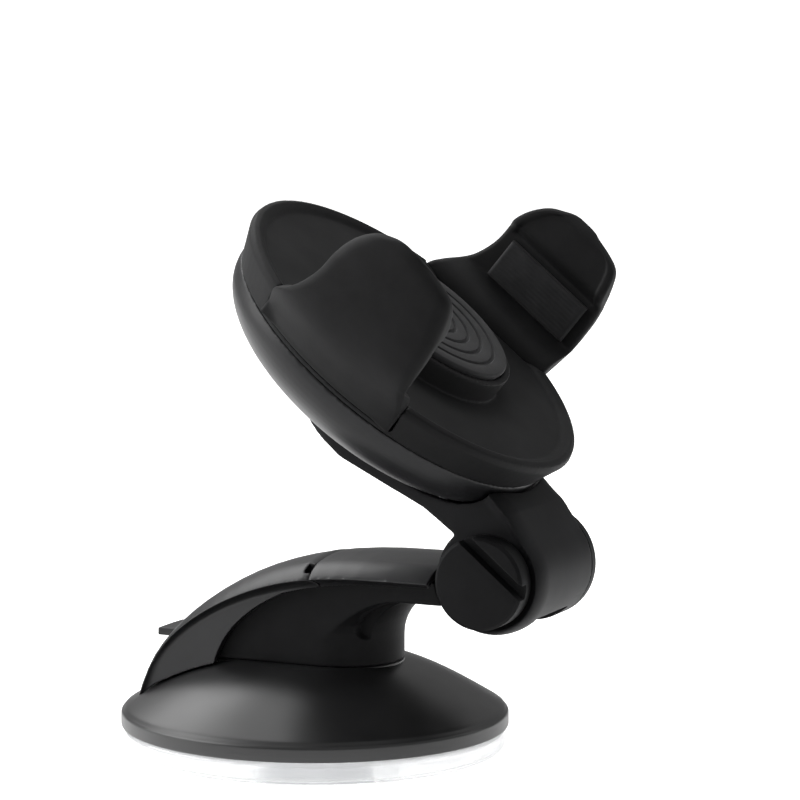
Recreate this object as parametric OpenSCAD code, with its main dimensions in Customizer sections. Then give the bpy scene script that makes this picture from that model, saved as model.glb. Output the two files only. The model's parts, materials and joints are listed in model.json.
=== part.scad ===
// Car phone mount: a suction base with a lock lever, an arched arm, a tilting neck and a
// swivelling cradle whose two geared jaws hold a phone by its long sides.
// X runs across the mount, -Y faces the driver, +Z is up, and the origin is the centre of
// the suction pad's underside.

/* [Suction base] */
// Diameter of the base
base_d = 65.6; // [60:0.4:80]
// Thickness of the clear gel pad
cup_t = 3.8; // [3:0.1:5]
// Height of the upright band round the base cover
rim_h = 2.2; // [1.5:0.1:4]
// Height of the base cover's flat top above the surface
base_h = 15.5; // [14:0.1:18]
// Wall of the base cover
base_wall = 2.4; // [1.8:0.1:3]

/* [Arm] */
// Width of the top cover and of the lever
strip_w = 24; // [20:0.5:26]
// Width of the inset arm core
core_w = 20.4; // [18.5:0.1:21]
// Thickness of the top cover and of the lever's skin
skin_t = 2.2; // [1.8:0.1:2.6]
// Height of the arm's crest above the surface
arm_h = 34.2; // [32:0.2:38]
// Reach of the arch behind the base centre, measured at floor level
arch_back = 29.8; // [28:0.2:31]
// Round front of the arm's pillar, forward of the base centre
pillar_front = 15.6; // [14.6:0.2:17]
// Back face of the arm's pillar, behind the base centre
pillar_back = 13.6; // [12:0.2:15]

/* [Lock lever] */
// Lever pin's place forward of the base centre
lever_pin_fwd = 2.8; // [2:0.1:4]
// Radius of the lever's knuckle
knuckle_r = 3.4; // [3:0.1:4]
// Diameter of the lever pin
lever_pin_d = 2.4; // [2:0.1:3]
// Angle that the lever opens through, in degrees
lever_open = 50; // [40:1:54]
// Drop of the stud as the lever opens
stud_drop = 1.5; // [1:0.1:1.6]
// Diameter of the lift stud's stem
stud_d = 5; // [4:0.1:5.4]

/* [Tilt joint] */
// Pivot axis forward of the base centre
pivot_fwd = 36.4; // [34:0.2:44]
// Pivot axis above the surface
pivot_h = 32.4; // [31:0.2:38]
// Diameter of the round joint barrel
barrel_d = 18.7; // [17:0.1:21]
// Length of the joint barrel
barrel_w = 22; // [20:0.5:24]
// Width of the arm's tongue inside the barrel
tongue_w = 12.8; // [10:0.1:13.5]
// Diameter of the clamp bolt
bolt_d = 4; // [3:0.1:5]
// Diameter of the slotted knob
knob_d = 15.2; // [13:0.1:17]
// Depth of the knob outside the barrel
knob_t = 5; // [4:0.1:7]
// Depth of the end cap on the barrel's far side
end_cap_t = 2.5; // [1.5:0.1:4]

/* [Neck] */
// Angle of the neck above level
neck_angle = 39.8; // [30:0.2:55]
// Distance from the pivot axis to the cradle's swivel axis
neck_len = 38.5; // [38:0.5:46]
// Distance from the pivot axis to the plane of the phone's back
neck_rise = 22.7; // [22:0.1:26]
// Thickness of the neck's plate under the cradle
neck_t = 2.7; // [2.4:0.1:4]
// Diameter of the swivel hub
hub_d = 12; // [10:0.2:14]

/* [Cradle] */
// Diameter of the round back shell
dish_d = 62; // [58:0.5:66]
// Depth of the back shell behind its seam
dish_depth = 12; // [11:0.2:13]
// Wall of the back shell and the front housing
shell_wall = 2; // [1.6:0.1:2.4]
// Seam of the two housings behind the plane of the phone's back
seam_drop = 10.5; // [10:0.1:11.5]
// Outward flare of the front housing's rim
rim_flare = 2; // [0:0.1:3]
// Diameter of the rubber pad behind the phone
pad_d = 31; // [24:0.5:34]
// Thickness of the rubber pad behind the phone
pad_t = 1.5; // [1:0.1:2]

/* [Jaws] */
// Width between the closed jaws
grip_w = 67; // [64:0.5:72]
// Outward travel of each jaw
jaw_travel = 10; // [6:0.5:10]
// Height of the jaws above the plane of the phone's back
jaw_h = 18; // [16:0.5:22]
// Width of each jaw's petal
jaw_w = 22.2; // [18:0.2:26]
// Offset of the petals below the swivel axis
jaw_shift = 3; // [0:0.1:5]
// Thickness of the rubber jaw pads
jaw_pad_t = 1.2; // [0.8:0.1:1.6]
// Thickness of the jaws' racks and pinion
rack_t = 2.5; // [2:0.1:2.8]
// Gear module of the racks and pinion
gear_module = 1.2; // [1:0.1:1.2]
// Pinion teeth
teeth = 12; // [12:2:14]

/* [Fits] */
// Gap between moving pieces
gap = 0.4; // [0.3:0.05:0.5]
// Radial clearance of running shafts
run_fit = 0.06; // [0.02:0.01:0.09]

/* [Hidden] */
$fn = 96;

black = [0.06, 0.06, 0.065];
dark = [0.11, 0.11, 0.12];
grey = [0.3, 0.3, 0.31];
steel = [0.72, 0.73, 0.75];

base_r = base_d / 2;
barrel_r = barrel_d / 2;
dish_r = dish_d / 2;
eps = 0.01;

// ---- arch of the arm, in the Y-Z plane ----
arch_p = 2.55;
panel_p = 2.17;
arch_cy = -19;
arch_cz = -10;
arch_a = arch_back - arch_cy + 0.3;
arch_b = arm_h - arch_cz;
panel_cy = -26;
panel_cz = base_h - 4.35;
panel_a = pillar_back - panel_cy - 0.1;
panel_b = arm_h - panel_cz - 1.9;

// A quarter of a superellipse, closed through its centre, wider than 90 degrees on the front side.
function quarter(cy, cz, a, b, p = arch_p, n = 24) = concat(
    [for (i = [0 : n]) let (t = 90 * i / n) [cy + a * pow(cos(t), 2 / p), cz + b * pow(sin(t), 2 / p)]],
    [[cy - 40, cz + b], [cy - 40, cz]]);

module side(w) { rotate([90, 0, 90]) linear_extrude(w, center = true) children(); }
module across(y, z, r, w) { translate([0, y, z]) rotate([0, 90, 0]) cylinder(r = r, h = w, center = true); }
module tilt_axis(r, w) { across(-pivot_fwd, pivot_h, r, w); }

// ---- base ----
flank_low = cup_t + rim_h + 1.2;
flank_in = 14;
flank_n = 10;
function flank(shrink) = [for (i = [0 : flank_n]) let (t = i / flank_n)
    [base_r - 1 - t * (base_r - 1 - flank_in) - shrink,
     flank_low + (base_h - flank_low) * (t + sin(90 * t)) / 2 - shrink * 0.6]];
module cone(shrink = 0) {
    rotate_extrude() polygon(concat([[0, cup_t], [base_r - shrink, cup_t],
        [base_r - shrink, cup_t + rim_h - shrink * 0.6],
        [base_r - 0.25 - shrink, cup_t + rim_h + 0.6 - shrink * 0.6]],
        flank(shrink), [[0, base_h - shrink * 0.6]]));
}

foot_r = 10;
foot_z = 2;
guide_z = 11.5;
guide_top = 14;
pocket_y = 9;
cam_in = 3.4;
cam_out = 5.6;
screw_x = (core_w / 2 + cam_out + gap) / 2;
screw_front = pillar_front - core_w / 2;
screw_back = pillar_back - 3.6;
screw_d = 2.6;

module suction_cup() {
    color([0.85, 0.88, 0.9, 0.6]) difference() {
        cylinder(r = base_r - 0.1, h = cup_t);
        // pocket of the stud's foot, with room for its drop
        translate([0, 0, foot_z - stud_drop]) cylinder(r = foot_r, h = cup_t);
    }
}

module base_cover() {
    color(black) difference() {
        union() {
            cone();
            translate([0, 0, guide_z]) linear_extrude(base_h - guide_z) foot_plan();
        }
        intersection() {
            translate([0, 0, -base_wall * 0.4]) cone(base_wall);
            cylinder(r = base_r, h = guide_z);
        }
        translate([-cam_out - gap, -pocket_y, guide_top]) cube([2 * (cam_out + gap), 2 * pocket_y, 10]);
        cylinder(d = stud_d + 2 * run_fit, h = 40);
        base_screw_set();
    }
}
module base_screw_set() {
    for (x = [-screw_x, screw_x], y = [-screw_front, screw_back]) translate([x, y, guide_z - 2]) {
        cylinder(d = screw_d * 2, h = 2);
        cylinder(d = screw_d, h = 10.5);
    }
}
module base_screws() { color(steel) base_screw_set(); }

// ---- arm ----
pin_y = -lever_pin_fwd;
// Height of the arch's outside at the lever pin.
crest = arch_cz + arch_b * pow(1 - pow((pin_y - arch_cy) / arch_a, arch_p), 1 / arch_p);
pin_z = crest - knuckle_r;
tongue_top = arm_h - skin_t;
tongue_low = pivot_h - 5.1;
eye_r = barrel_r - 1.2;

// Plan of the arm's foot: straight sides and a half-round front.
module foot_plan() {
    translate([0, core_w / 2 - pillar_front]) circle(d = core_w);
    translate([-core_w / 2, core_w / 2 - pillar_front])
        square([core_w, pillar_front + pillar_back - core_w / 2]);
}
// Flared cove where the round pillar runs out into the underside of the arm.
module arm_cove() {
    cove = tongue_low - base_h - 4.3;
    translate([0, core_w / 2 - pillar_front, tongue_low - cove]) intersection() {
        rotate_extrude() polygon(concat([[0, 0]],
            [for (i = [0 : 8]) let (t = 90 * i / 8) [core_w / 2 + cove * (1 - cos(t)), cove * sin(t) + eps]],
            [[0, cove + eps]]));
        translate([-core_w / 2, -60, -1]) cube([core_w, 60, 60]);
    }
}

module arm_core() {
    color(dark) difference() {
        union() {
            intersection() {
                side(core_w) polygon(quarter(arch_cy, arch_cz, arch_a - skin_t, arch_b - skin_t));
                union() {
                    translate([0, 0, base_h]) linear_extrude(60) foot_plan();
                    translate([-core_w / 2, -pivot_fwd, tongue_low]) cube([core_w, pivot_fwd, 60]);
                    arm_cove();
                }
            }
            side(tongue_w) polygon([[-pivot_fwd, tongue_low], [-pillar_front - 8, tongue_low],
                [-pillar_front - 8, tongue_top], [-pivot_fwd, tongue_top]]);
            tilt_axis(eye_r, tongue_w);
        }
        // clearance round the joint barrel, left off the tongue
        for (s = [-1, 1]) translate([s * (tongue_w / 2 + 10), 0, 0]) tilt_axis(barrel_r + 0.7, 20);
        tilt_axis(bolt_d / 2 + run_fit, core_w);
        // channel of the lever's knuckle
        across(pin_y, pin_z, knuckle_r + 0.3, 2 * knuckle_x + 2 * gap);
        across(pin_y, pin_z, lever_pin_d / 2 + run_fit, pin_l + 0.2);
        side(2 * knuckle_x + 2 * gap) polygon([[pin_y, pin_z], [pin_y - knuckle_r - 0.3, pin_z],
            [pin_y - knuckle_r - 0.3, 60], [60, 60], [60, pin_z]]);
        // well of the lever's cam plates and the stud
        difference() {
            across(pin_y, pin_z, cam_reach + gap, 2 * (cam_out + gap));
            translate([-core_w, -50, pin_z + 0.5]) cube([2 * core_w, 100, 50]);
            translate([-core_w, pin_y - well_front - 50, 0]) cube([2 * core_w, 50, 50]);
        }
        cylinder_between(base_h - 1, pin_z - 5, stud_d / 2 + 0.5);
        base_screw_set();
    }
}

module arm_top_cover() {
    color(grey) difference() {
        side(strip_w) polygon(quarter(arch_cy, arch_cz, arch_a, arch_b));
        side(strip_w + 1) polygon(quarter(panel_cy, panel_cz, panel_a, panel_b, panel_p));
        side(strip_w + 1) polygon([[pin_y - 0.5, -20], [60, -20], [60, 60], [pin_y - 0.5, 60]]);
        side(strip_w + 1) polygon([[-100, -20], [60, -20], [60, base_h], [-100, base_h]]);
        side(core_w) polygon(quarter(arch_cy, arch_cz, arch_a - skin_t, arch_b - skin_t));
        across(pin_y, pin_z, knuckle_r + 0.3, strip_w + 1);
        tilt_axis(barrel_r + 0.7, strip_w + 1);
        side(strip_w + 1) polygon([[-100, -20], [-pivot_fwd + barrel_r - 1.2, -20],
            [-pivot_fwd + barrel_r - 1.2, 60], [-100, 60]]);
    }
}

// ---- lock lever ----
knuckle_x = core_w / 2 - 2;
// The lever's skin passes outside this radius as it swings past the core's lugs.
lug_r = knuckle_r - 0.4 * skin_t;
cross_z = base_h + 6;
cross_d = 2.2;
slot_r = cross_d / 2 + run_fit;
// The cross pin in the lever's own frame when the lever has opened by t degrees.
function cam_point(t) = let (y = -pin_y, z = cross_z - pin_z - stud_drop * t / lever_open)
    [y * cos(t) + z * sin(t), z * cos(t) - y * sin(t)];
function stretched(q, d) = q * (1 + d / norm(q));
cam_wall = 1.9;
// The well's front wall, left thick below the barrel's clearance.
well_front = 9.4;
cam_reach = norm(cam_point(lever_open)) + slot_r + cam_wall;
cam_n = 14;
cam_start = -12;
cam_end = lever_open + 10;

module cam_plate() {
    difference() {
        side(cam_out - cam_in) polygon(concat([[0, 0]],
            [for (i = [0 : cam_n]) let (t = cam_start + (cam_end - cam_start) * i / cam_n)
                stretched(cam_point(min(max(t, 0), lever_open)) * rot2(t - min(max(t, 0), lever_open)),
                slot_r + cam_wall)]));
        side(cam_out - cam_in + 1) polygon(concat(
            [for (i = [0 : cam_n]) stretched(cam_point(lever_open * i / cam_n), slot_r)],
            [for (i = [cam_n : -1 : 0]) stretched(cam_point(lever_open * i / cam_n), -slot_r)]));
        for (t = [0, lever_open]) let (q = cam_point(t)) across(q[0], q[1], slot_r, cam_out - cam_in + 1);
    }
}
function rot2(t) = [[cos(t), -sin(t)], [sin(t), cos(t)]];

module lever() {
    color(grey) difference() {
        union() {
            difference() {
                side(strip_w) polygon(quarter(arch_cy, arch_cz, arch_a, arch_b));
                side(strip_w + 1) polygon(quarter(panel_cy, panel_cz, panel_a, panel_b, panel_p));
                side(core_w + 2 * gap)
                    polygon(quarter(arch_cy, arch_cz, arch_a - skin_t + gap, arch_b - skin_t + gap));
                across(pin_y, pin_z, lug_r, core_w + 2 * gap);
                side(core_w + 2 * gap) polygon([[pin_y, -20], [pin_y, 60], [-100, 60], [-100, -20]]);
                // side skirts end on a round front edge about the pin
                difference() {
                    side(strip_w + 1) polygon([[pin_y, -20], [pin_y, 60], [-100, 60], [-100, -20]]);
                    across(pin_y, pin_z, knuckle_r, strip_w + 1);
                }
                translate([0, 0, gap]) base_room();
            }
            across(pin_y, pin_z, knuckle_r, 2 * knuckle_x);
            for (s = [-1, 1]) translate([s * (cam_in + cam_out) / 2, pin_y, pin_z]) cam_plate();
            thumb_tab();
        }
        across(pin_y, pin_z, lever_pin_d / 2 + run_fit, 2 * knuckle_x + 1);
    }
}
// The base cover's outside with room above it, from the floor up.
module base_room() {
    cone();
    cylinder(r = base_r + gap, h = cup_t + rim_h);
    translate([0, 0, arch_cz - 2]) cylinder(r = base_r + 20, h = cup_t + rim_h - 1.2 - arch_cz);
}
tab_z = 18;
tab_t = 1.3;
tab_l = 4.4;
module thumb_tab() {
    tab_root = arch_cy + arch_a * pow(1 - pow((tab_z - arch_cz) / arch_b, arch_p), 1 / arch_p);
    translate([-4.5, tab_root - 1.6, tab_z - tab_t / 2]) cube([9, tab_l + 1.6, tab_t]);
}
pin_l = core_w - 1.6;
module lever_pin() { color(steel) across(pin_y, pin_z, lever_pin_d / 2, pin_l); }

module lift_stud() {
    color(steel) difference() {
        union() {
            translate([0, 0, foot_z]) cylinder(r = foot_r, h = cup_t - foot_z);
            cylinder_between(cup_t - eps, cross_z + cross_d, stud_d / 2);
        }
        across(0, cross_z, cross_d / 2, stud_d + 1);
    }
}
module cylinder_between(low, high, r) { translate([0, 0, low]) cylinder(r = r, h = high - low); }
module stud_cross_pin() { color(steel) across(0, cross_z, cross_d / 2, 2 * cam_out); }

spring_r = 4.3;
wire_r = 0.45;
spring_turns = 5;
module stud_spring() { color(steel) coil(spring_r, wire_r, cup_t + 0.05, guide_z - 0.05, spring_turns); }
// A round-wire coil spring between two levels.
module coil(r, w, low, high, turns) {
    steps = 20 * turns;
    sides = 8;
    rise = high - low - 2 * w;
    points = [for (i = [0 : steps]) let (a = 360 * turns * i / steps, z = low + w + rise * i / steps)
        for (j = [0 : sides - 1]) let (b = 360 * j / sides)
            [(r + w * cos(b)) * cos(a), (r + w * cos(b)) * sin(a), z + w * sin(b)]];
    skin = [for (i = [0 : steps - 1], j = [0 : sides - 1]) let (k = (j + 1) % sides)
        [i * sides + k, (i + 1) * sides + k, (i + 1) * sides + j, i * sides + j]];
    ends = [[for (j = [sides - 1 : -1 : 0]) j], [for (j = [0 : sides - 1]) steps * sides + j]];
    polyhedron(points, concat(skin, ends));
}

// ---- tilting frame: Y along the neck, Z out of the screen, origin on the pivot axis ----
module neck_frame() { translate([0, -pivot_fwd, pivot_h]) rotate([neck_angle, 0, 0]) children(); }
// ---- cradle frame: origin where the swivel axis meets the plane of the phone's back ----
module cradle_frame() { neck_frame() translate([0, neck_len, neck_rise]) children(); }

ear_in = tongue_w / 2 + gap;
plate_low = neck_rise - seam_drop - dish_depth - gap - neck_t;
slot_from = -175;
slot_to = 7;

module neck() {
    color(grey) neck_frame() difference() {
        union() {
            across(0, 0, barrel_r, barrel_w);
            intersection() {
                side(barrel_w) polygon([[-2.6, 0], [-2.2, barrel_r - 0.35], [4, barrel_r + 1.7],
                    [9.8, barrel_r + 2.4], [neck_len + 30, barrel_r + 2.4],
                    [neck_len + 30, plate_low], [neck_len - 6, plate_low],
                    [24, -0.9], [16, 1], [9, 1.4], [0, 0]]);
                translate([0, 0, -20]) linear_extrude(60) union() {
                    translate([-barrel_w / 2, -5]) square([barrel_w, neck_len + 1]);
                    translate([0, neck_len - 4]) circle(d = barrel_w);
                }
            }
        }
        difference() {
            translate([0, neck_len, neck_rise]) dish_sweep();
            translate([0, neck_len, plate_low]) cylinder(d = hub_d, h = neck_rise - plate_low - hub_top);
        }
        across(0, 0, eye_r + gap, 2 * ear_in);
        side(2 * ear_in) polygon(concat([[0, 0]], [for (i = [0 : 8])
            let (a = slot_from + (slot_to - slot_from) * i / 8) [15 * cos(a), 15 * sin(a)]]));
        across(0, 0, bolt_d / 2 + run_fit, barrel_w + 1);
        translate([nut_x, 0, 0]) rotate([0, 90, 0]) cylinder(r = nut_r, h = nut_t, $fn = 6);
        translate([nut_x + nut_t - eps, 0, 0]) rotate([0, 90, 0]) cylinder(r = cap_r, h = 20);
        translate([0, neck_len, neck_rise - hub_top - swivel_screw_l])
            cylinder(d = screw_d, h = swivel_screw_l);
    }
}
// The space that the turning cradle sweeps, grown by the moving gap.
module dish_sweep() {
    dish(dish_r + gap, dish_depth + gap);
    translate([0, 0, -seam_drop]) cylinder(r = dish_r + rim_flare + gap, h = 40);
}
hub_top = 17.5;
swivel_screw_l = 6;
nut_r = 4.04;
nut_t = 2.4;
nut_x = barrel_w / 2 - 1.2 - nut_t;
cap_r = 6;

module friction_washers() {
    color(black) neck_frame() for (s = [-1, 1]) difference() {
        translate([s * (ear_in - gap / 2 + 0.03), 0, 0]) across(0, 0, eye_r - 0.3, gap - 0.06);
        across(0, 0, bolt_d / 2 + run_fit, barrel_w);
    }
}
module pivot_nut() {
    color(steel) neck_frame() translate([nut_x, 0, 0]) rotate([0, 90, 0]) difference() {
        cylinder(r = nut_r, h = nut_t, $fn = 6);
        translate([0, 0, -1]) cylinder(d = bolt_d + 2 * run_fit, h = nut_t + 2);
    }
}
module nut_cap() {
    color(grey) neck_frame() translate([nut_x + nut_t, 0, 0]) rotate([0, 90, 0]) difference() {
        union() {
            cylinder(r = cap_r, h = barrel_w / 2 - nut_x - nut_t);
            translate([0, 0, barrel_w / 2 - nut_x - nut_t]) cylinder(r = barrel_r, h = end_cap_t - 0.8);
            translate([0, 0, barrel_w / 2 - nut_x - nut_t + end_cap_t - 0.8])
                cylinder(r1 = barrel_r, r2 = barrel_r - 0.8, h = 0.8);
        }
        translate([0, 0, -1]) cylinder(d = bolt_d + 1, h = 1.8);
    }
}
module swivel_washer() {
    color(steel) cradle_frame() translate([0, 0, -hub_top]) difference() {
        cylinder(d = hub_d + 6, h = 0.8);
        translate([0, 0, -1]) cylinder(d = screw_d, h = 3);
    }
}
module swivel_screw() {
    color(steel) cradle_frame() translate([0, 0, -hub_top]) {
        translate([0, 0, 0.8]) cylinder(d = 6.4, h = 1.8);
        translate([0, 0, -swivel_screw_l]) cylinder(d = screw_d, h = swivel_screw_l + 1);
    }
}

// ---- knob ----
knob_slot_w = 2;
knob_slot_off = 4;
knob_slot_depth = 2.2;
module knob() {
    color(black) neck_frame() translate([-barrel_w / 2, 0, 0]) rotate([0, -90, 0]) difference() {
        union() {
            translate([0, 0, 0.1]) cylinder(d = knob_d - 2, h = 1);
            translate([0, 0, 0.9]) cylinder(d = knob_d, h = knob_t - 1.4);
            translate([0, 0, knob_t - 0.5]) cylinder(d1 = knob_d, d2 = knob_d - 1, h = 0.5);
        }
        translate([knob_slot_off - knob_slot_w / 2, -knob_d, knob_t - knob_slot_depth])
            cube([knob_slot_w, 2 * knob_d, knob_t]);
        cylinder(d = bolt_d, h = knob_t - 2.6);
    }
}
module pivot_bolt() {
    color(steel) neck_frame() translate([-barrel_w / 2 - knob_t + 2.6, 0, 0]) rotate([0, 90, 0])
        cylinder(d = bolt_d, h = nut_x + nut_t + barrel_w / 2 + knob_t - 2.6);
}

// ---- cradle ----
dish_p = 2.4;
dish_n = 20;
module dish(r, depth) {
    translate([0, 0, -seam_drop]) rotate_extrude() polygon(concat([[0, 0]],
        [for (i = [0 : dish_n]) let (t = 90 * i / dish_n)
            [r * pow(cos(t), 2 / dish_p), -depth * pow(sin(t), 2 / dish_p)]]));
}
post_x = 10;
post_y = 22;
post_r = 2.8;
post_low = 16.4;
plate_top = 9.6;
plate_t = 1.5;
front_low = 6.7;
front_top = 5;
rim_top = 4;

module at_posts() { for (x = [-post_x, post_x], y = [-post_y, post_y]) translate([x, y, 0]) children(); }

module back_shell() {
    color(grey) cradle_frame() difference() {
        union() {
            difference() {
                dish(dish_r, dish_depth);
                dish(dish_r - shell_wall, dish_depth - shell_wall);
            }
            cylinder_between(-seam_drop - dish_depth + 1, -hub_top - 0.15, hub_d / 2 + 2);
            intersection() {
                at_posts() cylinder_between(-seam_drop - dish_depth, -plate_top - plate_t, post_r);
                dish(dish_r, dish_depth);
            }
        }
        cylinder_between(-40, 0, hub_d / 2 + run_fit);
        at_posts() cylinder_between(-40, -post_low, screw_d);
        at_posts() cylinder_between(-40, 0, screw_d / 2);
    }
}
module guide_plate() {
    color(dark) cradle_frame() difference() {
        cylinder_between(-plate_top - plate_t, -plate_top, dish_r - shell_wall - 0.4);
        cylinder_between(-30, 0, 10.4);
        at_posts() cylinder_between(-40, 0, screw_d / 2);
    }
}
module front_outer() {
    rotate_extrude() polygon([[0, -seam_drop], [dish_r, -seam_drop], [dish_r + rim_flare, -rim_top - 1.4],
        [dish_r + rim_flare - 0.3, -rim_top - 0.4], [dish_r + rim_flare - 1.2, -rim_top],
        [dish_r + rim_flare - 2.2, -rim_top - 0.4], [dish_r + rim_flare - 3, -front_top], [0, -front_top]]);
}
axle_d = 4;
// Width of the rack's channel behind the jaw's root.
rack_channel = 7;
boss_r = pad_d / 2 + 1.2;
root_up = jaw_w / 2 - jaw_shift + 6;
root_down = jaw_w / 2 + jaw_shift;

module front_housing() {
    color(black) cradle_frame() difference() {
        union() {
            difference() {
                front_outer();
                cylinder_between(-seam_drop - 1, -front_low, dish_r - shell_wall);
            }
            cylinder_between(-front_top - eps, -pad_t + 0.5, boss_r);
            at_posts() cylinder_between(-plate_top, -front_low + eps, post_r);
        }
        cylinder_between(-pad_t, 1, pad_d / 2);
        cylinder_between(-30, 1, axle_d / 2);
        cylinder_between(-pad_t - 1, 1, axle_d / 2 + 1.6);
        for (s = [-1, 1]) jaw_notch(s);
        at_posts() cylinder_between(-40, -front_low + 0.4, screw_d / 2);
    }
}
// Opening in the front housing for one jaw's root, with a channel inside it for the rack.
module jaw_notch(s) {
    mirror([s > 0 ? 0 : 1, 0, 0]) {
        translate([jaw_back - gap, -root_down - gap, -plate_top]) cube([20, root_up + root_down + 2 * gap, 30]);
        translate([jaw_back - rack_channel, -root_down - gap, -plate_top])
            cube([20, root_up + root_down + 2 * gap, plate_top - front_low]);
    }
}
module centre_pad() { color(black) cradle_frame() cylinder_between(-pad_t, 0, pad_d / 2); }
module cradle_screws() {
    color(steel) cradle_frame() at_posts() {
        cylinder_between(-post_low - 1.6, -post_low, screw_d - 0.2);
        cylinder_between(-post_low - eps, -front_low, screw_d / 2);
    }
}

// ---- gear train ----
pitch_r = gear_module * teeth / 2;
pressure = 20;
gear_base_r = pitch_r * cos(pressure);
tip_r = pitch_r + gear_module - 0.15;
root_r = pitch_r - 1.25 * gear_module;
backlash = 0.12;
deg = 180 / PI;
function inv(a) = tan(a) * deg - a;
function half_tooth(r) = 90 / teeth - backlash / pitch_r * deg + inv(pressure)
    - inv(acos(min(1, gear_base_r / max(r, gear_base_r))));
gear_radii = [root_r, gear_base_r, pitch_r - 0.2, pitch_r + 0.3, tip_r];
rack_z = plate_top - 0.15;

module pinion() {
    color("ivory") cradle_frame() translate([0, 0, -rack_z]) difference() {
        linear_extrude(rack_t) polygon([for (k = [0 : teeth - 1]) let (c = 360 * k / teeth)
            for (q = concat([for (r = gear_radii) [r, -half_tooth(r)]],
                [for (i = [len(gear_radii) - 1 : -1 : 0]) [gear_radii[i], half_tooth(gear_radii[i])]]))
                q[0] * [cos(c + q[1]), sin(c + q[1])]]);
        translate([0, 0, -1]) cylinder(d = axle_d + 2 * run_fit, h = rack_t + 2);
    }
}
module pinion_axle() {
    color(steel) cradle_frame() {
        cylinder_between(-rack_z - 1, -pad_t - 1, axle_d / 2);
        cylinder_between(-rack_z - 1.2, -rack_z - 0.15, axle_d / 2 + 1);
        cylinder_between(-pad_t - 1, -pad_t, axle_d / 2 + 1.6);
    }
}
spring_low = 13.6;
spring_h = 1.8;
spiral_turns = 3;
spiral_in = 4;
spiral_out = 9.6;
strip_t = 0.5;
module pinion_spring() {
    n = 20 * spiral_turns;
    grow = spiral_out - spiral_in;
    color(steel) cradle_frame() translate([0, 0, -spring_low]) linear_extrude(spring_h) polygon(concat(
        [for (i = [0 : n]) let (a = 360 * spiral_turns * i / n) (spiral_in + grow * i / n) * [cos(a), sin(a)]],
        [for (i = [n : -1 : 0]) let (a = 360 * spiral_turns * i / n)
            (spiral_in + grow * i / n - strip_t) * [cos(a), sin(a)]]));
}

// ---- jaws, drawn for the +X side ----
pitch = PI * gear_module;
// The rack still reaches past the pinion with the jaws at full travel.
rack_from = -6 - jaw_travel;
bar_w = 5;
pad_u = grip_w / 2;
// Straight-flanked rack: teeth point to -Y from a pitch line at y = 0, with a space at x = 0.
module rack() {
    half = pitch / 4 - backlash;
    up = gear_module - 0.2;
    down = 1.25 * gear_module;
    slope = tan(pressure);
    for (k = [-4 : 3]) translate([(k + 0.5) * pitch, 0]) polygon([[-half - down * slope, down + eps],
        [-half + up * slope, -up], [half - up * slope, -up], [half + down * slope, down + eps]]);
    translate([rack_from, down]) square([pad_u - 4 - rack_from, bar_w]);
}
jaw_back = 28.6;
module jaw_side_profile() {
    u = pad_u;
    side_y() polygon([[jaw_back, -rack_z], [jaw_back, -front_top + 0.5], [u - 4, -1.2], [u + jaw_pad_t, -1.2],
        [u + jaw_pad_t, 8.4], [u + 0.3, 9.6], [u - 0.6, 10.8], [u - 0.2, 12.8], [u + 1, jaw_h - 2.3],
        [u + 2, jaw_h - 0.6], [u + 3, jaw_h], [u + 4.1, jaw_h - 0.8], [u + 4.6, jaw_h - 3], [u + 4.9, 11],
        [u + 4.9, 6], [u + 4.3, 1.5], [u + 3, -2], [u + 0.8, -5.2], [dish_r + 0.35, -rack_z]]);
}
// Profile in X-Z, extruded along Y.
module side_y() { translate([0, 60, 0]) rotate([90, 0, 0]) linear_extrude(120) children(); }
module jaw_outline() {
    lo = -jaw_shift - jaw_w / 2;
    hi = -jaw_shift + jaw_w / 2;
    side(200) polygon([[-root_down, -rack_z], [lo, 0], [lo, jaw_h - 12], [lo + 0.5, jaw_h - 8.5],
        [lo + 1.2, jaw_h - 5.7], [lo + 2, jaw_h - 3.5], [lo + 2.6, jaw_h - 2.5], [lo + 3.8, jaw_h - 1.6],
        [lo + 5.4, jaw_h - 1.1], [lo + 7.8, jaw_h - 0.7], [lo + 10, jaw_h - 0.2], [lo + 12, jaw_h],
        [hi - 8.7, jaw_h], [hi - 6.9, jaw_h - 0.3], [hi - 5.2, jaw_h - 0.8], [hi - 3.9, jaw_h - 1.5],
        [hi - 2.7, jaw_h - 2.5], [hi - 1.4, jaw_h - 4], [hi - 0.2, jaw_h - 6.5], [hi + 0.3, jaw_h - 9],
        [hi + 0.4, jaw_h - 12.5], [hi + 1.2, 2.6], [hi + 2.6, -0.4], [root_up, -4], [root_up, -rack_z]]);
}
// Round limit that lets the petal's root follow the cradle's edge.
module jaw_round() {
    rotate_extrude() polygon([[0, -rack_z], [dish_r + 0.8, -rack_z], [dish_r + 3.7, -5.2],
        [dish_r + 8, 0], [60, 8], [60, 40], [0, 40]]);
}
module jaw(side_sign) {
    color(black) cradle_frame() mirror([side_sign > 0 ? 0 : 1, 0, 0]) difference() {
        union() {
            intersection() {
                jaw_side_profile();
                jaw_outline();
                jaw_round();
            }
            translate([0, 0, -rack_z]) mirror([0, side_sign > 0 ? 1 : 0, 0])
                linear_extrude(rack_t) translate([0, pitch_r]) rack();
        }
        jaw_pad_shape();
    }
}
jaw_pad_w = jaw_w - 4.4;
module jaw_pad_shape() {
    translate([pad_u, -jaw_shift - jaw_pad_w / 2, 0]) cube([jaw_pad_t, jaw_pad_w, 7.6]);
}
module jaw_left() { jaw(-1); }
module jaw_right() { jaw(1); }
module jaw_pad_left() { color(dark) cradle_frame() mirror([1, 0, 0]) jaw_pad_shape(); }
module jaw_pad_right() { color(dark) cradle_frame() jaw_pad_shape(); }

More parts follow.
